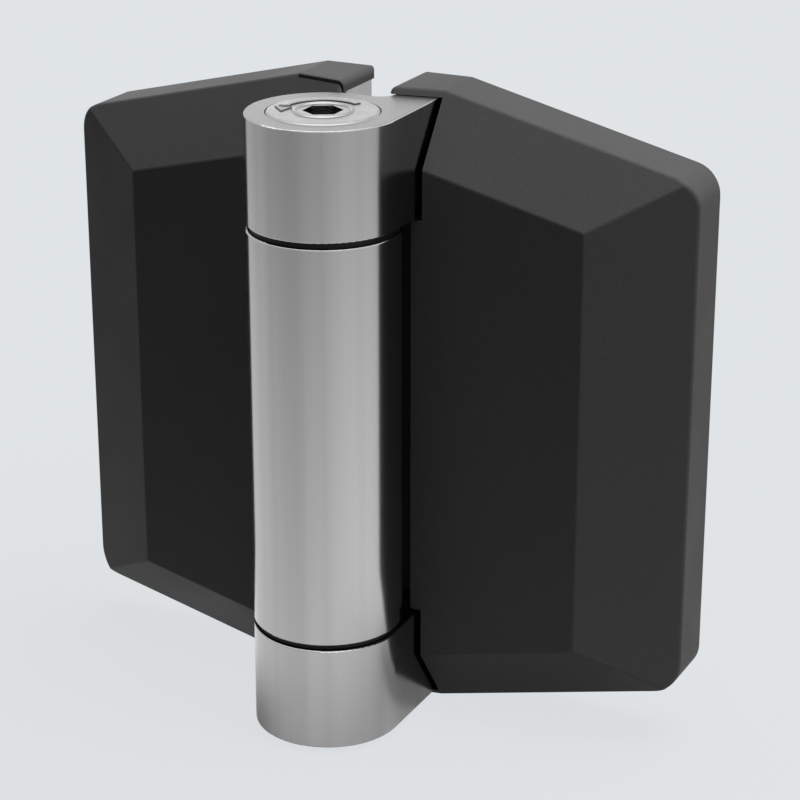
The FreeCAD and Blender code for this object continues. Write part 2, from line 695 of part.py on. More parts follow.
spring_anchor = barrel_body("spring_anchor")
ANCHOR_END = f"({ANCHOR_FACE}-dims.mandrel_length)"
revolve(
    spring_anchor,
    "anchor",
    turned_over(
        [
            ("0", SLEEVE_END),
            (BORE, SLEEVE_END),
            (BORE, ANCHOR_FACE),
            (MANDREL, ANCHOR_FACE),
            (MANDREL, ANCHOR_END),
            ("0", ANCHOR_END),
        ]
    ),
)
cut_spring_slot(
    spring_anchor,
    f"{COIL_FOOT}-{WIRE_HALF}-dims.slot_gap",
    f"-{ANCHOR_END}+dims.cut_margin",
)
dimple = new_sketch(spring_anchor, "dimple_place", "XZ_Plane", f"dims.anchor_grip-{BORE}")
draw_circle(dimple, "0", f"-{ANCHOR_LEVEL}", "dims.screw_radius")
extrude(spring_anchor, "Pocket", "dimple", dimple, "dims.anchor_grip+dims.cut_margin")

torsion_spring = barrel_body("torsion_spring")
wire = draw_box(
    new_sketch(torsion_spring, "wire", "XZ_Plane"),
    f"{COIL_OUTSIDE}-dims.wire_side",
    f"{COIL_FOOT}-{WIRE_HALF}",
    COIL_OUTSIDE,
    f"{COIL_FOOT}+{WIRE_HALF}",
)
coil = torsion_spring.newObject("PartDesign::AdditiveHelix", "coil")
coil.Profile = wire
coil.ReferenceAxis = (wire, ["V_Axis"])
coil.Mode = "height-turns-angle"
COIL_HEIGHT = f"({COIL_TOP}-{COIL_FOOT})"
bind(coil, Height=COIL_HEIGHT, Turns=f"floor({COIL_HEIGHT}/dims.coil_pitch)")
doc.recompute()
hooks = new_sketch(torsion_spring, "hook_places", "YZ_Plane")
for level in (COIL_FOOT, COIL_TOP):
    draw_box(hooks, f"-{WIRE_HALF}", f"{level}-{WIRE_HALF}", WIRE_HALF, f"{level}+{WIRE_HALF}")
extrude(torsion_spring, "Pad", "hooks", hooks, COIL_RADIUS)


def make_seal(label, level):
    body = barrel_body(label)
    section = new_sketch(body, "section", "XZ_Plane")
    draw_circle(section, f"{HEAD_RADIUS}-dims.seal_section/2", level, "dims.seal_section/2")
    ring = body.newObject("PartDesign::Revolution", "ring")
    ring.Profile = section
    ring.ReferenceAxis = (section, ["V_Axis"])
    ring.Angle = 360
    return body


adjuster_seal = make_seal("adjuster_seal", SEAL_LEVEL)
pivot_seal = make_seal("pivot_seal", f"-{SEAL_LEVEL}")


def make_set_screw(label, level, tip):
    """Set screw that points at the hinge axis from the back of the barrel."""
    body = barrel_body(label)
    end = "(dims.barrel_radius-dims.screw_recess)"
    sketch = new_sketch(body, "round", "XZ_Plane", f"-({tip})")
    draw_circle(sketch, "0", level, "dims.screw_radius")
    extrude(body, "Pad", "screw", sketch, f"{end}-({tip})", reverse=True)
    sketch = new_sketch(body, "socket_place", "XZ_Plane", f"-{end}")
    draw_outline(sketch, [(x, f"{level}+({y})") for x, y in hexagon("dims.screw_socket")])
    extrude(body, "Pocket", "socket", sketch, "dims.screw_socket_depth", reverse=True)
    return body


adjuster_screw = make_set_screw("adjuster_screw", SCREW_LEVEL, f"{GRIP_FLOOR}+dims.running_gap")
pivot_screw = make_set_screw("pivot_screw", f"-{SCREW_LEVEL}", GRIP_FLOOR)
anchor_screw = make_set_screw("anchor_screw", f"-{ANCHOR_LEVEL}", f"{BORE}-dims.anchor_grip")

# Check and write
doc.recompute()
for item in doc.Objects:
    if {"Invalid", "Error"} & set(item.State):
        raise RuntimeError(f"{item.Name} failed: {item.State}")
SUB_PARTS = [
    post_leaf,
    gate_leaf,
    post_cover,
    gate_cover,
    upper_bush,
    lower_bush,
    tension_adjuster,
    adjuster_seal,
    adjuster_screw,
    torsion_spring,
    spring_anchor,
    anchor_screw,
    lower_pivot,
    pivot_seal,
    pivot_screw,
]
for item in SUB_PARTS:
    shape = item.Shape
    if shape.isNull() or not shape.isValid() or len(shape.Solids) != 1:
        raise RuntimeError(f"{item.Label} is not one sound solid")
os.makedirs("parts", exist_ok=True)
for item in SUB_PARTS:
    item.Shape.exportStep(f"parts/{item.Label}.step")
    print(f"{item.Label}: {item.Shape.Volume / 1000:.2f} cm3")
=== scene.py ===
import math
import bpy
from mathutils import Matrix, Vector


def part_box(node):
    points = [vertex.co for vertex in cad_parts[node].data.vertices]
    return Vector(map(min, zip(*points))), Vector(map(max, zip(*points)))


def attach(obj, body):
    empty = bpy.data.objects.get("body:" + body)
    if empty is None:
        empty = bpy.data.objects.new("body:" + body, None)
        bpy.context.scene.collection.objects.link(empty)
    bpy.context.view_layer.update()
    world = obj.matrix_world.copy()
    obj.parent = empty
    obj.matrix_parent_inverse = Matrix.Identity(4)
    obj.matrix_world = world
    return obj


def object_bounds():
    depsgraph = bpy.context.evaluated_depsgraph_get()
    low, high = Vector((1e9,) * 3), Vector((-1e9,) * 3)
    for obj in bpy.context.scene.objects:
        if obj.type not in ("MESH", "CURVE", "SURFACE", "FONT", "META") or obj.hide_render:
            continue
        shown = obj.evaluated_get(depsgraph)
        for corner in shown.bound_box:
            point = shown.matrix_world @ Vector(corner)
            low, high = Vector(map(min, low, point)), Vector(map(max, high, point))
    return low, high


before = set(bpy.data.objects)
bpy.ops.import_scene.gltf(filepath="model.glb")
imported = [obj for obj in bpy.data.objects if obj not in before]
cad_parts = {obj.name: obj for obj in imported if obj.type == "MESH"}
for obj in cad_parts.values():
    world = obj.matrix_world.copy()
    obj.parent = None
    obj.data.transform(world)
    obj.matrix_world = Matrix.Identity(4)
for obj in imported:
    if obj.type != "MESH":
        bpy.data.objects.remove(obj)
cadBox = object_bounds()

print("stage 1: frame loaded,", len(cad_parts), "nodes")

mm = 0.001
adjusterLow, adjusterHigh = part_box("tension_adjuster")
hingeAxis = (adjusterLow + adjusterHigh) / 2  # its x and y are the axis that the gate turns on
ringTop = adjusterHigh.z
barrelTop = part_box("post_leaf")[1].z
noiseLow, noiseHigh = 0.3, 0.7  # the values of a noise texture lie mostly between these
bumpStrength = 0.3


def hexColour(code):
    # sRGB hex to linear RGBA
    parts = [int(code[i:i + 2], 16) / 255 for i in (1, 3, 5)]
    return [c / 12.92 if c <= 0.04045 else ((c + 0.055) / 1.055) ** 2.4 for c in parts] + [1.0]


def addNode(tree, kind, inputs=None, ramp=(), **settings):
    node = tree.nodes.new(kind)
    for index, (position, code) in enumerate(ramp):
        node.color_ramp.elements[index].position = position
        node.color_ramp.elements[index].color = hexColour(code)
    for name, value in settings.items():
        setattr(node, name, value)
    for name, value in (inputs or {}).items():
        if isinstance(value, bpy.types.NodeSocket):
            tree.links.new(value, node.inputs[name])
        else:
            node.inputs[name].default_value = value
    return node


def startMaterial(name):
    material = bpy.data.materials.new(name)
    material.use_nodes = True
    tree = material.node_tree
    tree.nodes.clear()
    shader = addNode(tree, "ShaderNodeBsdfPrincipled")
    addNode(tree, "ShaderNodeOutputMaterial", {"Surface": shader.outputs[0]})
    place = addNode(tree, "ShaderNodeTexCoord").outputs["Object"]
    return material, tree, shader, place


def perMm(*sizes):
    # texture scale for a grain of these sizes in millimetres along X, Y and Z
    return [1 / (size * mm) for size in sizes]


def finishSurface(tree, shader, look, tone, sheen, relief):
    # colour from tone, roughness from the noise called sheen, bump from the noise called relief
    rough = addNode(tree, "ShaderNodeMapRange", {
        "Value": sheen.outputs[0], "From Min": noiseLow, "From Max": noiseHigh,
        "To Min": look["roughLow"], "To Max": look["roughHigh"]})
    bump = addNode(tree, "ShaderNodeBump", {
        "Height": relief.outputs[0], "Strength": bumpStrength, "Distance": look["bumpMm"] * mm})
    tree.links.new(tone.outputs[0], shader.inputs["Base Color"])
    tree.links.new(rough.outputs[0], shader.inputs["Roughness"])
    tree.links.new(bump.outputs[0], shader.inputs["Normal"])


# Extruded aluminium, satin anodised: an even grey sheen, soft bands and fine lines along the barrel
# where the die drew it, and a plain grain on the sawn and faced ends.
leafFinish = {
    "pale": "#D4D4D4", "deep": "#C4C4C4", "toneSpan": (0.34, 0.66),
    "faced": "#ACACAC", "facedDeep": "#A0A0A0", "facedSpan": (0.35, 0.65),
    "bandMm": (4.5, 4.5, 500.0),
    "lineMm": (0.5, 0.5, 140.0),  # real die lines are near 0.1 mm, drawn coarser so that they show
    "lineShare": 0.15,  # of the drawn tone, the rest is the bands
    "grainMm": 0.3,  # grain of the faced ends, drawn at three times its size
    "endFromMm": 0.06, "endToMm": 0.02,  # the faced look starts and is full this far inside an end
    "roughLow": 0.16, "roughHigh": 0.2, "roughFaced": 0.32, "bumpMm": 0.001,
}


def satinAluminium(look):
    material, tree, shader, place = startMaterial("satinAnodisedAluminium")
    shader.inputs["Metallic"].default_value = 1.0
    bandPlace = addNode(tree, "ShaderNodeMapping", {"Vector": place, "Scale": perMm(*look["bandMm"])})
    bands = addNode(tree, "ShaderNodeTexNoise", {
        "Vector": bandPlace.outputs[0], "Scale": 1.0, "Detail": 1.0})
    linePlace = addNode(tree, "ShaderNodeMapping", {"Vector": place, "Scale": perMm(*look["lineMm"])})
    lines = addNode(tree, "ShaderNodeTexNoise", {
        "Vector": linePlace.outputs[0], "Scale": 1.0, "Detail": 3.0, "Roughness": 0.6})
    grain = addNode(tree, "ShaderNodeTexNoise", {
        "Vector": place, "Scale": perMm(look["grainMm"])[0], "Detail": 3.0, "Roughness": 0.6})
    drawn = addNode(tree, "ShaderNodeMix", {
        0: look["lineShare"], 2: bands.outputs[0], 3: lines.outputs[0]})
    drawnTone = addNode(tree, "ShaderNodeValToRGB", {0: drawn.outputs[0]},
        ramp=zip(look["toneSpan"], (look["deep"], look["pale"])))
    facedTone = addNode(tree, "ShaderNodeValToRGB", {0: grain.outputs[0]},
        ramp=zip(look["facedSpan"], (look["facedDeep"], look["faced"])))
    # the faced ends lie at the top and foot of the barrel
    heights = addNode(tree, "ShaderNodeSeparateXYZ", {"Vector": place})
    fromMiddle = addNode(tree, "ShaderNodeMath", {0: heights.outputs["Z"]}, operation="ABSOLUTE")
    atEnd = addNode(tree, "ShaderNodeMapRange", {
        "Value": fromMiddle.outputs[0],
        "From Min": barrelTop - look["endFromMm"] * mm, "From Max": barrelTop - look["endToMm"] * mm})
    tone = addNode(tree, "ShaderNodeMix", {
        0: atEnd.outputs[0], 6: drawnTone.outputs[0], 7: facedTone.outputs[0]}, data_type="RGBA")
    drawnRough = addNode(tree, "ShaderNodeMapRange", {
        "Value": lines.outputs[0], "From Min": noiseLow, "From Max": noiseHigh,
        "To Min": look["roughLow"], "To Max": look["roughHigh"]})
    rough = addNode(tree, "ShaderNodeMix", {
        0: atEnd.outputs[0], 2: drawnRough.outputs[0], 3: look["roughFaced"]})
    relief = addNode(tree, "ShaderNodeMix", {
        0: atEnd.outputs[0], 2: lines.outputs[0], 3: grain.outputs[0]})
    bump = addNode(tree, "ShaderNodeBump", {
        "Height": relief.outputs[0], "Strength": bumpStrength, "Distance": look["bumpMm"] * mm})
    tree.links.new(tone.outputs[2], shader.inputs["Base Color"])
    tree.links.new(rough.outputs[0], shader.inputs["Roughness"])
    tree.links.new(bump.outputs[0], shader.inputs["Normal"])
    return material


# Polypropylene moulded in a spark-eroded tool: near black, a dull even sheen that brightens towards
# glancing angles, with a fine grain.
coverFinish = {
    "dark": "#2C2C2C", "light": "#343434", "toneSpan": (0.35, 0.65),
    "grainMm": 0.3,  # real spark texture is near 0.1 mm, drawn coarser so that it shows
    "cloudMm": 14.0,  # slow change of sheen where the melt cooled
    "roughLow": 0.5, "roughHigh": 0.58, "bumpMm": 0.008, "ior": 1.27,
}


def sparkTexturedPolypropylene(look):
    material, tree, shader, place = startMaterial("sparkTexturedPolypropylene")
    shader.inputs["IOR"].default_value = look["ior"]
    grain = addNode(tree, "ShaderNodeTexNoise", {
        "Vector": place, "Scale": perMm(look["grainMm"])[0], "Detail": 4.0, "Roughness": 0.65})
    cloud = addNode(tree, "ShaderNodeTexNoise", {
        "Vector": place, "Scale": perMm(look["cloudMm"])[0], "Detail": 2.0})
    tone = addNode(tree, "ShaderNodeValToRGB", {0: grain.outputs[0]},
        ramp=zip(look["toneSpan"], (look["dark"], look["light"])))
    finishSurface(tree, shader, look, tone, cloud, grain)
    return material


# Acetal, moulded: jet black with a waxy shine and faint rings from the tool's turned core.
bushFinish = {
    "dark": "#060606", "light": "#0C0C0C", "toneSpan": (0.35, 0.65),
    "ringMm": (30.0, 30.0, 0.25), "grainMm": 0.4,
    "roughLow": 0.4, "roughHigh": 0.5, "bumpMm": 0.003, "ior": 1.32,
}


def mouldedAcetal(look):
    material, tree, shader, place = startMaterial("mouldedBlackAcetal")
    shader.inputs["IOR"].default_value = look["ior"]
    ringPlace = addNode(tree, "ShaderNodeMapping", {"Vector": place, "Scale": perMm(*look["ringMm"])})
    rings = addNode(tree, "ShaderNodeTexNoise", {
        "Vector": ringPlace.outputs[0], "Scale": 1.0, "Detail": 2.0})
    grain = addNode(tree, "ShaderNodeTexNoise", {
        "Vector": place, "Scale": perMm(look["grainMm"])[0], "Detail": 2.0})
    tone = addNode(tree, "ShaderNodeValToRGB", {0: grain.outputs[0]},
        ramp=zip(look["toneSpan"], (look["dark"], look["light"])))
    finishSurface(tree, shader, look, tone, grain, rings)
    return material


# Turned steel, nickel plated: a neutral silver sheen with fine rings left by the lathe, on the face
# as circles round the axis and on the shank as circles along it.
pivotFinish = {
    "pale": "#C6C6C6", "deep": "#AEAEAF", "toneSpan": (0.34, 0.66),
    "ringMm": 0.4,  # real feed marks are near 0.1 mm, drawn coarser so that they show
    "cloudMm": 3.0, "cloudShare": 0.5,  # soft patches in the plating
    "roughLow": 0.22, "roughHigh": 0.32, "bumpMm": 0.0015,
}


def turnedNickelledSteel(look):
    material, tree, shader, place = startMaterial("turnedNickelledSteel")
    shader.inputs["Metallic"].default_value = 1.0
    centred = addNode(tree, "ShaderNodeMapping", {
        "Vector": place, "Location": (-hingeAxis.x, -hingeAxis.y, 0.0)})
    parts = addNode(tree, "ShaderNodeSeparateXYZ", {"Vector": centred.outputs[0]})
    flat = addNode(tree, "ShaderNodeCombineXYZ", {"X": parts.outputs["X"], "Y": parts.outputs["Y"]})
    radius = addNode(tree, "ShaderNodeVectorMath", {0: flat.outputs[0]}, operation="LENGTH")
    across = addNode(tree, "ShaderNodeMath", {
        0: radius.outputs["Value"], 1: parts.outputs["Z"]}, operation="ADD")
    rings = addNode(tree, "ShaderNodeTexNoise", {
        "W": across.outputs[0], "Scale": perMm(look["ringMm"])[0], "Detail": 3.0, "Roughness": 0.6},
        noise_dimensions="1D")
    cloud = addNode(tree, "ShaderNodeTexNoise", {
        "Vector": place, "Scale": perMm(look["cloudMm"])[0], "Detail": 2.0})
    both = addNode(tree, "ShaderNodeMix", {
        0: look["cloudShare"], 2: rings.outputs[0], 3: cloud.outputs[0]})
    tone = addNode(tree, "ShaderNodeValToRGB", {0: both.outputs[0]},
        ramp=zip(look["toneSpan"], (look["deep"], look["pale"])))
    finishSurface(tree, shader, look, tone, rings, rings)
    return material


# Hardened steel, zinc plated: a dull silver with a slightly crystalline cloud.
screwFinish = {
    "pale": "#A9A9AA", "deep": "#8B8C8D", "toneSpan": (0.3, 0.7),
    "grainMm": 0.25, "crystalMm": 1.2, "crystalShare": 0.4,
    "roughLow": 0.3, "roughHigh": 0.42, "bumpMm": 0.002,
}


def zincPlatedSteel(look):
    material, tree, shader, place = startMaterial("zincPlatedSteel")
    shader.inputs["Metallic"].default_value = 1.0
    grain = addNode(tree, "ShaderNodeTexNoise", {
        "Vector": place, "Scale": perMm(look["grainMm"])[0], "Detail": 3.0})
    crystals = addNode(tree, "ShaderNodeTexVoronoi", {
        "Vector": place, "Scale": perMm(look["crystalMm"])[0]})
    both = addNode(tree, "ShaderNodeMix", {
        0: look["crystalShare"], 2: grain.outputs[0], 3: crystals.outputs["Distance"]})
    tone = addNode(tree, "ShaderNodeValToRGB", {0: both.outputs[0]},
        ramp=zip(look["toneSpan"], (look["deep"], look["pale"])))
    finishSurface(tree, shader, look, tone, grain, grain)
    return material


# Oil-tempered spring steel, drawn wire: dark grey with a thin brown-black scale and lines along the wire.
springFinish = {
    "pale": "#77767A", "deep": "#4A484A", "toneSpan": (0.36, 0.64),
    "lineMm": (20.0, 20.0, 0.3), "scaleMm": 1.6, "scaleShare": 0.6,
    "roughLow": 0.34, "roughHigh": 0.5, "bumpMm": 0.003,
}


def oilTemperedWire(look):
    material, tree, shader, place = startMaterial("oilTemperedSpringWire")
    shader.inputs["Metallic"].default_value = 1.0
    linePlace = addNode(tree, "ShaderNodeMapping", {"Vector": place, "Scale": perMm(*look["lineMm"])})
    lines = addNode(tree, "ShaderNodeTexNoise", {
        "Vector": linePlace.outputs[0], "Scale": 1.0, "Detail": 3.0})
    scale = addNode(tree, "ShaderNodeTexNoise", {
        "Vector": place, "Scale": perMm(look["scaleMm"])[0], "Detail": 4.0, "Roughness": 0.6})
    both = addNode(tree, "ShaderNodeMix", {
        0: look["scaleShare"], 2: lines.outputs[0], 3: scale.outputs[0]})
    tone = addNode(tree, "ShaderNodeValToRGB", {0: both.outputs[0]},
        ramp=zip(look["toneSpan"], (look["deep"], look["pale"])))
    finishSurface(tree, shader, look, tone, scale, lines)
    return material


# Nitrile rubber, moulded: matt black with a faint grey bloom in patches.
sealFinish = {
    "dark": "#0B0B0B", "bloom": "#1E1E1F", "toneSpan": (0.4, 0.75),
    "grainMm": 0.12, "bloomMm": 2.2,
    "roughLow": 0.6, "roughHigh": 0.75, "bumpMm": 0.004, "ior": 1.52,
}


def mouldedNitrile(look):
    material, tree, shader, place = startMaterial("mouldedNitrileRubber")
    shader.inputs["IOR"].default_value = look["ior"]
    bloom = addNode(tree, "ShaderNodeTexNoise", {
        "Vector": place, "Scale": perMm(look["bloomMm"])[0], "Detail": 3.0})
    grain = addNode(tree, "ShaderNodeTexNoise", {
        "Vector": place, "Scale": perMm(look["grainMm"])[0], "Detail": 2.0})
    tone = addNode(tree, "ShaderNodeValToRGB", {0: bloom.outputs[0]},
        ramp=zip(look["toneSpan"], (look["dark"], look["bloom"])))
    finishSurface(tree, shader, look, tone, bloom, grain)
    return material


leafMetal = satinAluminium(leafFinish)
coverPlastic = sparkTexturedPolypropylene(coverFinish)
bushPlastic = mouldedAcetal(bushFinish)
pivotMetal = turnedNickelledSteel(pivotFinish)
screwMetal = zincPlatedSteel(screwFinish)
springMetal = oilTemperedWire(springFinish)
sealRubber = mouldedNitrile(sealFinish)

finishes = {
    "post_leaf": leafMetal, "gate_leaf": leafMetal,
    "post_cover": coverPlastic, "gate_cover": coverPlastic,
    "upper_bush": bushPlastic, "lower_bush": bushPlastic,
    "tension_adjuster": pivotMetal, "lower_pivot": pivotMetal, "spring_anchor": pivotMetal,
    "adjuster_screw": screwMetal, "anchor_screw": screwMetal, "pivot_screw": screwMetal,
    "torsion_spring": springMetal,
    "adjuster_seal": sealRubber, "pivot_seal": sealRubber,
}
for nodeName, material in finishes.items():
    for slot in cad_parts[nodeName].material_slots:
        slot.material = material
print("stage 2: finishes on the CAD pieces")


def selectWhere(piece, wanted):
    # selects the mesh points that wanted picks, in edit mode
    bpy.ops.mesh.select_mode(type="VERT")
    bpy.ops.mesh.select_all(action="DESELECT")
    bpy.ops.object.mode_set(mode="OBJECT")
    for vertex in piece.data.vertices:
        vertex.select = wanted(vertex.co)
    bpy.ops.object.mode_set(mode="EDIT")


# Raised arrow on the adjuster's head, round the key socket: it shows which way winds the spring.
turnArrow = {
    "innerMm": 6.3, "outerMm": 7.6, "startDeg": 62.0, "sweepDeg": 128.0, "steps": 32,
    "headSpread": 2.3, "headDeg": 24.0,  # the arrow's head is this many bands wide, and this long
    "tipShare": 0.02,  # width left at its tip
    "faceMm": 0.25,  # the adjuster's face lies this far below the top of its ring
    "riseMm": 0.2, "sunkMm": 0.1,  # above and below that face
    "edgeMm": 0.06, "edgeSteps": 2, "smoothDeg": 35.0, "mergeMm": 0.02,
}


def modelTurnArrow(look):
    axis = Vector((hingeAxis.x, hingeAxis.y, ringTop - look["faceMm"] * mm))
    middle = (look["innerMm"] + look["outerMm"]) / 2 * mm
    width = (look["outerMm"] - look["innerMm"]) * mm
    cornerReach = 0.51 * width  # from the middle of an end to just past its corners
    startAt = math.radians(look["startDeg"])
    sweep = math.radians(look["sweepDeg"])
    angles = (startAt, startAt + sweep, startAt + sweep + math.radians(look["headDeg"]))
    start, end, tip = [axis + Vector((math.cos(a), math.sin(a), 0)) * middle for a in angles]
    along = Vector((-math.sin(startAt), math.cos(startAt), 0))
    bpy.ops.object.select_all(action="DESELECT")
    bpy.ops.mesh.primitive_plane_add(size=width, location=start, rotation=(0, 0, startAt))
    arrow = bpy.context.object
    arrow.name = "turnArrow"
    bpy.ops.object.transform_apply(location=True, rotation=True)
    bpy.ops.object.mode_set(mode="EDIT")
    # one edge across the band is kept and spun round the axis
    selectWhere(arrow, lambda point: (point - start).dot(along) > 0)
    bpy.ops.mesh.delete(type="VERT")
    bpy.ops.mesh.select_all(action="SELECT")
    bpy.ops.transform.translate(value=along * width / 2)
    bpy.ops.mesh.spin(steps=look["steps"], angle=-sweep, center=axis, axis=(0, 0, 1))
    # its far end opens into the arrow's head, which closes to a point
    selectWhere(arrow, lambda point: (point - end).length < cornerReach)
    bpy.ops.mesh.extrude_region_move(TRANSFORM_OT_translate={"value": (0, 0, 0)})
    bpy.ops.transform.resize(value=(look["headSpread"],) * 3, center_override=end)
    bpy.ops.mesh.extrude_region_move(TRANSFORM_OT_translate={"value": tip - end})
    bpy.ops.transform.resize(value=(look["tipShare"],) * 3, center_override=tip)
    bpy.ops.mesh.select_all(action="SELECT")
    bpy.ops.transform.translate(value=(0, 0, look["riseMm"] * mm))
    bpy.ops.mesh.remove_doubles(threshold=look["mergeMm"] * mm)
    bpy.ops.mesh.normals_make_consistent(inside=False)
    bpy.ops.object.mode_set(mode="OBJECT")
    if arrow.data.polygons[0].normal.z < 0:  # the flat sheet faces up before it gets its thickness
        bpy.ops.object.mode_set(mode="EDIT")
        bpy.ops.mesh.flip_normals()
        bpy.ops.object.mode_set(mode="OBJECT")
    solid = arrow.modifiers.new("thickness", "SOLIDIFY")
    solid.thickness = (look["riseMm"] + look["sunkMm"]) * mm
    solid.offset = -1
    bpy.ops.object.modifier_apply(modifier=solid.name)
    soft = arrow.modifiers.new("softEdges", "BEVEL")
    soft.width = look["edgeMm"] * mm
    soft.segments = look["edgeSteps"]
    bpy.ops.object.modifier_apply(modifier=soft.name)
    bpy.ops.object.shade_smooth_by_angle(angle=math.radians(look["smoothDeg"]))
    arrow.data.materials.append(pivotMetal)
    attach(arrow, "adjuster")
    return arrow


arrow = modelTurnArrow(turnArrow)
print("stage 3: turn arrow modelled,", len(arrow.data.polygons), "faces")

# Studio room, which the background and the metal show: paler behind the hinge and palest overhead.
roomLook = {
    "background": "#E0E4E7", "mirrored": "#E4E4E4",  # as the camera sees it and as the metal shows it
    "light": 0.05,  # soft light from all round
    "paleEnd": (0.34, 0.94, 0.0), "paleFrom": -1.0, "paleTo": 0.0,  # a direction, and cosines to it
    "dimShare": 0.7, "paleShare": 1.06,
    "overheadFrom": 0.6, "overheadTo": 1.0, "overheadLevel": 1.4,  # cosines to straight up
    "deepShare": 0.2,  # light left after a second reflection, so that the joints stay dark
}
seenColour = hexColour(roomLook["background"])
mirroredColour = hexColour(roomLook["mirrored"])
hingeCentre = Vector((hingeAxis.x, hingeAxis.y, 0.0))


def mirroredRoom(tree, direction, rays):
    # how pale the room is in this direction, and the share of it that this reflection keeps
    facing = addNode(tree, "ShaderNodeVectorMath", {
        0: direction, 1: roomLook["paleEnd"]}, operation="DOT_PRODUCT")
    pale = addNode(tree, "ShaderNodeMapRange", {
        "Value": facing.outputs["Value"], "From Min": roomLook["paleFrom"], "From Max": roomLook["paleTo"],
        "To Min": roomLook["dimShare"], "To Max": roomLook["paleShare"]})
    kept = addNode(tree, "ShaderNodeMapRange", {
        "Value": rays.outputs["Glossy Depth"], "From Min": 1.0, "From Max": 2.0,
        "To Min": 1.0, "To Max": roomLook["deepShare"]})
    return pale.outputs[0], kept.outputs[0]


# Studio floor: the background's colour, with the hinge's shadow close by. Each From and To is a distance
# in metres along the floor.
floorLook = {
    "side": 6.0,
    "cloth": "#919191", "bounce": "#303030",  # lit by the lamps, as it is seen and as it lights the hinge
    "fadeFrom": 0.06, "fadeTo": 0.2, "nearShare": 0.92,  # the shadow fades out with distance
    "tableFrom": 0.07, "tableTo": 0.13, "tableShare": 0.9,  # soft glow under the hinge, on its low bevels
    "fallFrom": 0.1, "fallTo": 0.42, "farShare": 0.64,  # the metal shows it darker away from the hinge
    "shineAt": (0.019, -0.0115, 0.0),  # and dark in the shadow beside the barrel
    "shineFrom": 0.03, "shineTo": 0.065, "shineNear": 0.2,
}
floorAt = Vector((hingeAxis.x, hingeAxis.y, cadBox[0][2]))


def paleFloor(look):
    material = bpy.data.materials.new("paleStudioFloor")
    material.use_nodes = True
    tree = material.node_tree
    tree.nodes.clear()
    rays = addNode(tree, "ShaderNodeLightPath")
    place = addNode(tree, "ShaderNodeTexCoord").outputs["Object"]
    distance = addNode(tree, "ShaderNodeVectorMath", {0: place, 1: floorAt}, operation="DISTANCE")
    # share of plain colour that the camera sees, the rest is lit cloth
    fade = addNode(tree, "ShaderNodeMapRange", {
        "Value": distance.outputs["Value"], "From Min": look["fadeFrom"], "From Max": look["fadeTo"],
        "To Min": look["nearShare"], "To Max": 1.0}, interpolation_type="SMOOTHSTEP")
    seenOrClear = addNode(tree, "ShaderNodeMath", {
        0: rays.outputs["Is Camera Ray"], 1: rays.outputs["Is Transmission Ray"]}, operation="MAXIMUM")
    table = addNode(tree, "ShaderNodeMapRange", {
        "Value": distance.outputs["Value"], "From Min": look["tableFrom"], "From Max": look["tableTo"],
        "To Min": look["tableShare"], "To Max": 0.0}, interpolation_type="SMOOTHSTEP")
    tableLight = addNode(tree, "ShaderNodeMath", {
        0: rays.outputs["Is Diffuse Ray"], 1: table.outputs[0]}, operation="MULTIPLY")
    seenShare = addNode(tree, "ShaderNodeMath", {
        0: seenOrClear.outputs[0], 1: fade.outputs[0], 2: tableLight.outputs[0]}, operation="MULTIPLY_ADD")
    # and the share that the metal shows
    beside = addNode(tree, "ShaderNodeVectorMath", {
        0: place, 1: floorAt + Vector(look["shineAt"])}, operation="DISTANCE")
    shine = addNode(tree, "ShaderNodeMapRange", {
        "Value": beside.outputs["Value"], "From Min": look["shineFrom"], "From Max": look["shineTo"],
        "To Min": look["shineNear"], "To Max": 1.0}, interpolation_type="SMOOTHSTEP")
    share = addNode(tree, "ShaderNodeMix", {
        0: rays.outputs["Is Glossy Ray"], 2: seenShare.outputs[0], 3: shine.outputs[0]})
    # how bright the plain colour is
    away = addNode(tree, "ShaderNodeVectorMath", {0: place, 1: hingeCentre}, operation="SUBTRACT")
    toward = addNode(tree, "ShaderNodeVectorMath", {0: away.outputs[0]}, operation="NORMALIZE")
    pale, kept = mirroredRoom(tree, toward.outputs[0], rays)
    fall = addNode(tree, "ShaderNodeMapRange", {
        "Value": distance.outputs["Value"], "From Min": look["fallFrom"], "From Max": look["fallTo"],
        "To Min": 1.0, "To Max": look["farShare"]})
    shade = addNode(tree, "ShaderNodeMath", {0: pale, 1: fall.outputs[0]}, operation="MULTIPLY")
    deep = addNode(tree, "ShaderNodeMath", {0: shade.outputs[0], 1: kept}, operation="MULTIPLY")
    level = addNode(tree, "ShaderNodeMix", {0: rays.outputs["Is Glossy Ray"], 2: 1.0, 3: deep.outputs[0]})
    paint = addNode(tree, "ShaderNodeMix", {
        0: rays.outputs["Is Camera Ray"], 6: mirroredColour, 7: seenColour}, data_type="RGBA")
    cloth = addNode(tree, "ShaderNodeMix", {
        0: rays.outputs["Is Diffuse Ray"], 6: hexColour(look["cloth"]), 7: hexColour(look["bounce"])},
        data_type="RGBA")
    lit = addNode(tree, "ShaderNodeBsdfDiffuse", {"Color": cloth.outputs[2]})
    plain = addNode(tree, "ShaderNodeEmission", {"Color": paint.outputs[2], "Strength": level.outputs[0]})
    mixed = addNode(tree, "ShaderNodeMixShader", {
        0: share.outputs[0], 1: lit.outputs[0], 2: plain.outputs[0]})
    addNode(tree, "ShaderNodeOutputMaterial", {"Surface": mixed.outputs[0]})
    return material


bpy.ops.object.select_all(action="DESELECT")
bpy.ops.mesh.primitive_plane_add(size=floorLook["side"], location=floorAt)
floor = bpy.context.object
floor.name = "studioFloor"
bpy.ops.object.transform_apply(location=True)
floor.data.materials.append(paleFloor(floorLook))


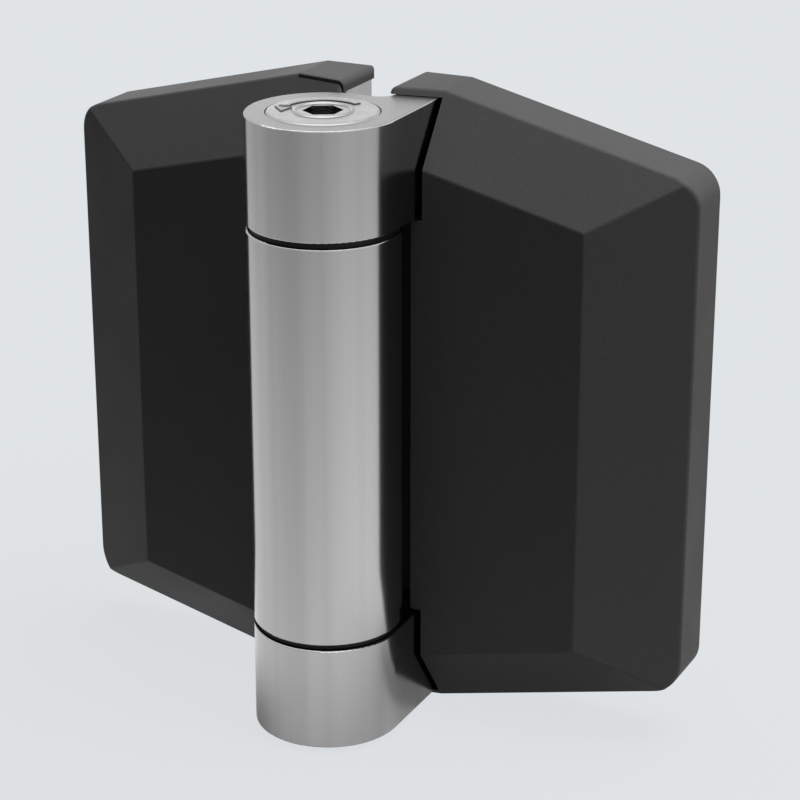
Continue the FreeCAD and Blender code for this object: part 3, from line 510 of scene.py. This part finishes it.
def paintRoom(look):
    world = bpy.data.worlds.new("studioRoom")
    world.use_nodes = True
    tree = world.node_tree
    tree.nodes.clear()
    rays = addNode(tree, "ShaderNodeLightPath")
    direction = addNode(tree, "ShaderNodeTexCoord").outputs["Generated"]
    pale, kept = mirroredRoom(tree, direction, rays)
    upward = addNode(tree, "ShaderNodeSeparateXYZ", {"Vector": direction})
    overhead = addNode(tree, "ShaderNodeMapRange", {
        "Value": upward.outputs["Z"], "From Min": look["overheadFrom"], "From Max": look["overheadTo"],
        "To Max": look["overheadLevel"]}, interpolation_type="SMOOTHSTEP")
    shown = addNode(tree, "ShaderNodeMath", {0: pale, 1: overhead.outputs[0]}, operation="ADD")
    deep = addNode(tree, "ShaderNodeMath", {0: shown.outputs[0], 1: kept}, operation="MULTIPLY")
    level = addNode(tree, "ShaderNodeMix", {
        0: rays.outputs["Is Glossy Ray"], 2: look["light"], 3: deep.outputs[0]})
    seenOrClear = addNode(tree, "ShaderNodeMath", {
        0: rays.outputs["Is Camera Ray"], 1: rays.outputs["Is Transmission Ray"]}, operation="MAXIMUM")
    strength = addNode(tree, "ShaderNodeMix", {0: seenOrClear.outputs[0], 2: level.outputs[0], 3: 1.0})
    paint = addNode(tree, "ShaderNodeMix", {
        0: rays.outputs["Is Camera Ray"], 6: mirroredColour, 7: seenColour}, data_type="RGBA")
    backdrop = addNode(tree, "ShaderNodeBackground", {
        "Color": paint.outputs[2], "Strength": strength.outputs[0]})
    addNode(tree, "ShaderNodeOutputWorld", {"Surface": backdrop.outputs[0]})
    return world


bpy.context.scene.world = paintRoom(roomLook)

# Round softboxes aimed at the hinge, in metres and watts. The top and side ones light it and stay out of
# its reflections, and the two behind it are faint and put a soft shine on its edges.
softboxes = {
    "topSoftbox": {"at": (0.2, 0.12, 0.95), "size": 0.9, "power": 27.0, "gloss": False},
    "sideSoftbox": {"at": (0.54, -0.08, 0.2), "size": 0.4, "power": 2.8, "gloss": False},
    "rimSoftbox": {"at": (0.45, 0.85, 0.27), "size": 0.3, "power": 0.05, "gloss": True},
    "backSoftbox": {"at": (-0.55, 0.82, 0.16), "size": 0.3, "power": 0.12, "gloss": True},
}
for lampName, lamp in softboxes.items():
    softbox = bpy.data.lights.new(lampName, "AREA")
    softbox.shape = "DISK"
    softbox.size = lamp["size"]
    softbox.energy = lamp["power"]
    stand = bpy.data.objects.new(lampName, softbox)
    bpy.context.scene.collection.objects.link(stand)
    stand.location = lamp["at"]
    stand.rotation_euler = (hingeCentre - Vector(lamp["at"])).to_track_quat("-Z", "Y").to_euler()
    stand.visible_camera = False
    stand.visible_glossy = lamp["gloss"]

# Camera at the photograph's angle
shot = {
    "eye": (0.15624, -0.38392, 0.15764), "aim": (-0.03393, 0.0, -0.00493),
    "lensMm": 112.65, "sensorMm": 36.0, "nearest": 0.01,
}
cameraData = bpy.data.cameras.new("photoCamera")
cameraData.lens = shot["lensMm"]
cameraData.sensor_width = shot["sensorMm"]
cameraData.clip_start = shot["nearest"]
camera = bpy.data.objects.new("photoCamera", cameraData)
bpy.context.scene.collection.objects.link(camera)
camera.location = shot["eye"]
camera.rotation_euler = (Vector(shot["aim"]) - Vector(shot["eye"])).to_track_quat("-Z", "Y").to_euler()
bpy.context.scene.camera = camera
bpy.context.scene.view_settings.view_transform = "Standard"
print("stage 4: studio and camera set")
